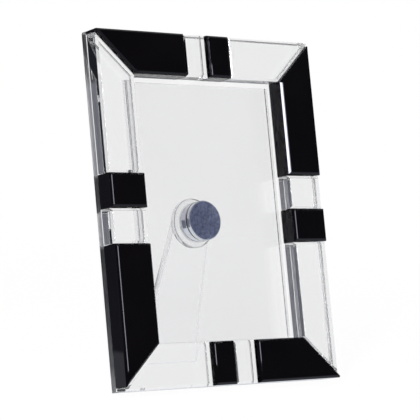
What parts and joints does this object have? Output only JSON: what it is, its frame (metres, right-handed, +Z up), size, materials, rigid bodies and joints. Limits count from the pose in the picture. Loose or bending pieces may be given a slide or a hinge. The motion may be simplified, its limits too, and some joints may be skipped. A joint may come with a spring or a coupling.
{
  "type": "picture frame",
  "caption": "Upright tabletop picture frame with mitred rails of clear and black crystal blocks on glass, a photo pocket and a clear swinging leg on a metal barrel.",
  "frame": {"origin": "on the table, under the middle of the object's box", "axes": "+X to the right seen from the front, +Y to the back, +Z up; the picture faces -Y and leans back by 18 degrees"},
  "size_m": [0.1548, 0.0768, 0.1959],
  "materials": {
    "clear_crystal": "polished clear crystal glass",
    "black_crystal": "polished black crystal glass",
    "clear_strip": "clear plastic strip",
    "brushed_steel": "turned and brushed",
    "polished_steel": "polished",
    "dark_nylon": "matt"
  },
  "bodies": {
    "frame": {"front_plate": "clear_crystal", "top_black_bar": "black_crystal", "top_clear_tile": "clear_crystal", "top_black_tile": "black_crystal", "top_clear_bar": "clear_crystal", "right_black_bar": "black_crystal", "right_clear_tile": "clear_crystal", "right_black_tile": "black_crystal", "right_clear_bar": "clear_crystal", "bottom_black_bar": "black_crystal", "bottom_clear_tile": "clear_crystal", "bottom_black_tile": "black_crystal", "bottom_clear_bar": "clear_crystal", "left_black_bar": "black_crystal", "left_clear_tile": "clear_crystal", "left_black_tile": "black_crystal", "left_clear_bar": "clear_crystal", "rear_pane": "clear_crystal", "pocket_spacer_left": "clear_strip", "pocket_spacer_right": "clear_strip", "pocket_spacer_bottom": "clear_strip", "barrel_base": "brushed_steel", "friction_washer": "dark_nylon"},
    "leg": {"leg_barrel": "polished_steel", "leg_disc": "clear_crystal", "leg": "clear_crystal"}
  },
  "joints": [
    {"name": "leg_swing", "type": "hinge", "parent": "frame", "child": "leg", "pos_m": [0, 0.01404, 0.08847], "axis": [0, -0.9511, 0.309], "range_deg": [-90, 90]}
  ]
}
